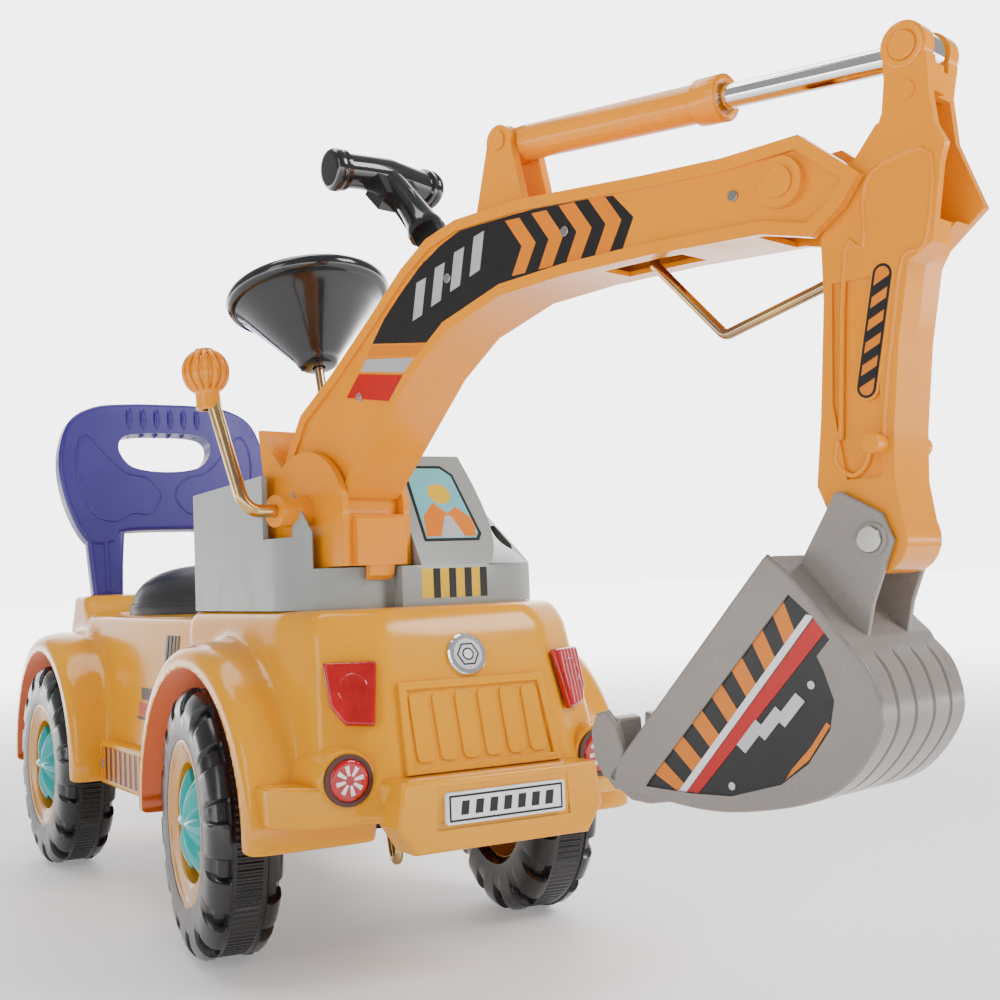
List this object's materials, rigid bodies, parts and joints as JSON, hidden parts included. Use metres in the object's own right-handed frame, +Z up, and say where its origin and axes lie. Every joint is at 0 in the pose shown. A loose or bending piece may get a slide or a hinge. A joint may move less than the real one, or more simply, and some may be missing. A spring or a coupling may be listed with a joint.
{
  "type": "ride-on toy digger",
  "caption": "Ride-on toy digger: yellow body on black wheels, grey console, swinging orange boom with stick, cylinder and bucket, hand levers, dished steering wheel, seat and purple backrest.",
  "frame": {"origin": "on the ground, midway between the front wheels, at the height where the tyres stand", "axes": "+Z up, -Y forward (the way the child faces), +X to the child's left"},
  "size_m": [0.3221, 1.1069, 0.5515],
  "materials": {
    "arm_orange": "glossy moulded orange-yellow plastic",
    "back_purple": "satin purple plastic",
    "badge_silver": "silver sticker",
    "body_yellow": "glossy moulded yellow-orange plastic",
    "bucket_grey": "satin warm grey plastic",
    "cap_cyan": "glossy turquoise plastic",
    "chassis_black": "matte black plastic",
    "console_grey": "satin grey plastic",
    "lamp_dark": "dark lamp ring",
    "lamp_red": "clear red moulded lens",
    "plate_white": "white sticker on plastic",
    "rim_yellow": "glossy yellow plastic",
    "screw_steel": "zinc-plated steel",
    "seat_black": "satin black plastic",
    "steel_bright": "bright plated steel",
    "steel_bronze": "yellow-passivated steel wire",
    "tyre_black": "blow-moulded glossy black plastic"
  },
  "bodies": {
    "base": {"body_shell": "body_yellow", "chassis_pan": "chassis_black", "front_axle_beam": "chassis_black", "rear_axle": "screw_steel", "console": "console_grey", "seat": "seat_black", "seatback": "back_purple", "grille": "body_yellow", "badge_disc": "badge_silver", "number_plate": "plate_white", "round_lamp_ring_left": "lamp_dark", "round_lamp_ring_right": "lamp_dark", "round_lamp_lens_left": "lamp_red", "round_lamp_lens_right": "lamp_red", "headlamp_left": "lamp_red", "headlamp_right": "lamp_red", "body_screws": "screw_steel", "swing_bolt": "screw_steel"},
    "turntable": {"yoke": "arm_orange"},
    "boom": {"boom_shell_left": "arm_orange", "boom_shell_right": "arm_orange", "stick_pin": "screw_steel", "barrel_pin": "screw_steel", "boom_screws": "screw_steel", "lever_rod": "steel_bronze", "lever_knob": "arm_orange"},
    "handle": {"t_handle_grip": "seat_black", "t_handle_stem": "seat_black"},
    "barrel": {"cylinder_barrel": "arm_orange"},
    "rod": {"cylinder_rod": "steel_bright"},
    "stick": {"stick_shell_left": "arm_orange", "stick_shell_right": "arm_orange", "rod_pin": "screw_steel", "stick_peg": "arm_orange"},
    "link": {"pull_link": "steel_bronze"},
    "scoop": {"bucket": "bucket_grey", "bucket_teeth": "bucket_grey", "bucket_bolt": "screw_steel"},
    "steering": {"steering_column": "steel_bronze", "steering_wheel": "seat_black", "horn_button": "seat_black"},
    "tie": {"tie_rod": "chassis_black"},
    "knuckle_left": {"steering_knuckle_left": "chassis_black"},
    "knuckle_right": {"steering_knuckle_right": "chassis_black"},
    "wheel_front_left": {"front_left_tyre": "tyre_black", "front_left_rim": "rim_yellow", "front_left_hubcap": "cap_cyan"},
    "wheel_front_right": {"front_right_tyre": "tyre_black", "front_right_rim": "rim_yellow", "front_right_hubcap": "cap_cyan"},
    "wheel_rear_left": {"rear_left_tyre": "tyre_black", "rear_left_rim": "rim_yellow", "rear_left_hubcap": "cap_cyan"},
    "wheel_rear_right": {"rear_right_tyre": "tyre_black", "rear_right_rim": "rim_yellow", "rear_right_hubcap": "cap_cyan"}
  },
  "joints": [
    {"name": "arm_swing", "type": "hinge", "parent": "base", "child": "turntable", "pos_m": [-0.055, -0.058, 0.25], "axis": [0, 0, 1], "range_deg": [-16, 0]},
    {"name": "boom_tilt", "type": "hinge", "parent": "turntable", "child": "boom", "pos_m": [-0.05293, -0.06573, 0.311], "axis": [-0.9659, -0.2588, 0], "range_deg": [-8, 12]},
    {"name": "stick_hinge", "type": "hinge", "parent": "boom", "child": "stick", "pos_m": [0.04827, -0.4434, 0.455], "axis": [-0.9659, -0.2588, 0], "range_deg": [-12, 10]},
    {"name": "barrel_hinge", "type": "hinge", "parent": "boom", "child": "barrel", "pos_m": [-0.00531, -0.24346, 0.529], "axis": [-0.9659, -0.2588, 0], "range_deg": [-3, 3]},
    {"name": "rod_slide", "type": "slide", "parent": "barrel", "child": "rod", "axis": [0.2581, -0.9631, -0.0764], "range_m": [-0.012, 0.014]},
    {"name": "link_hinge", "type": "hinge", "parent": "stick", "child": "link", "pos_m": [0.055, -0.46852, 0.408], "axis": [-0.9659, -0.2588, 0], "range_deg": [-10.5, 12.5]},
    {"name": "handle_hinge", "type": "hinge", "parent": "boom", "child": "handle", "pos_m": [-0.02161, -0.1826, 0.462], "axis": [-0.9659, -0.2588, 0], "range_deg": [-12.5, 10.5]},
    {"name": "bucket_hinge", "type": "hinge", "parent": "stick", "child": "scoop", "pos_m": [0.05836, -0.48108, 0.272], "axis": [-0.9659, -0.2588, 0], "range_deg": [-20, 30]},
    {"name": "steering_turn", "type": "hinge", "parent": "base", "child": "steering", "pos_m": [0, 0.1023, 0.4992], "axis": [0, 0.284, 0.9588], "range_deg": [-9.5, 41.5]},
    {"name": "tie_slide", "type": "slide", "parent": "base", "child": "tie", "axis": [1, 0, 0], "range_m": [-0.0025, 0.0103]},
    {"name": "knuckle_left_turn", "type": "hinge", "parent": "base", "child": "knuckle_left", "pos_m": [0.08, 0, 0.095], "axis": [0, 0, 1], "range_deg": [-4, 17.2]},
    {"name": "knuckle_right_turn", "type": "hinge", "parent": "base", "child": "knuckle_right", "pos_m": [-0.08, 0, 0.095], "axis": [0, 0, 1], "range_deg": [-4, 17.2]},
    {"name": "front_left_spin", "type": "hinge", "parent": "knuckle_left", "child": "wheel_front_left", "pos_m": [0.12272, -0.00487, 0.095], "axis": [0.9936, -0.1132, 0], "continuous": true},
    {"name": "front_right_spin", "type": "hinge", "parent": "knuckle_right", "child": "wheel_front_right", "pos_m": [-0.12272, 0.00487, 0.095], "axis": [0.9936, -0.1132, 0], "continuous": true},
    {"name": "rear_left_spin", "type": "hinge", "parent": "base", "child": "wheel_rear_left", "pos_m": [0.123, 0.448, 0.095], "axis": [1, 0, 0], "continuous": true},
    {"name": "rear_right_spin", "type": "hinge", "parent": "base", "child": "wheel_rear_right", "pos_m": [-0.123, 0.448, 0.095], "axis": [1, 0, 0], "continuous": true}
  ],
  "couplings": [
    {"joint": "barrel_hinge", "follows": "stick_hinge", "ratio": 0.2283},
    {"joint": "rod_slide", "follows": "stick_hinge", "m_per_rad": -0.05796},
    {"joint": "link_hinge", "follows": "stick_hinge", "ratio": -1},
    {"joint": "handle_hinge", "follows": "stick_hinge", "ratio": 1},
    {"joint": "tie_slide", "follows": "steering_turn", "m_per_rad": 0.014},
    {"joint": "knuckle_left_turn", "follows": "steering_turn", "ratio": 0.41176},
    {"joint": "knuckle_right_turn", "follows": "steering_turn", "ratio": 0.41176}
  ]
}
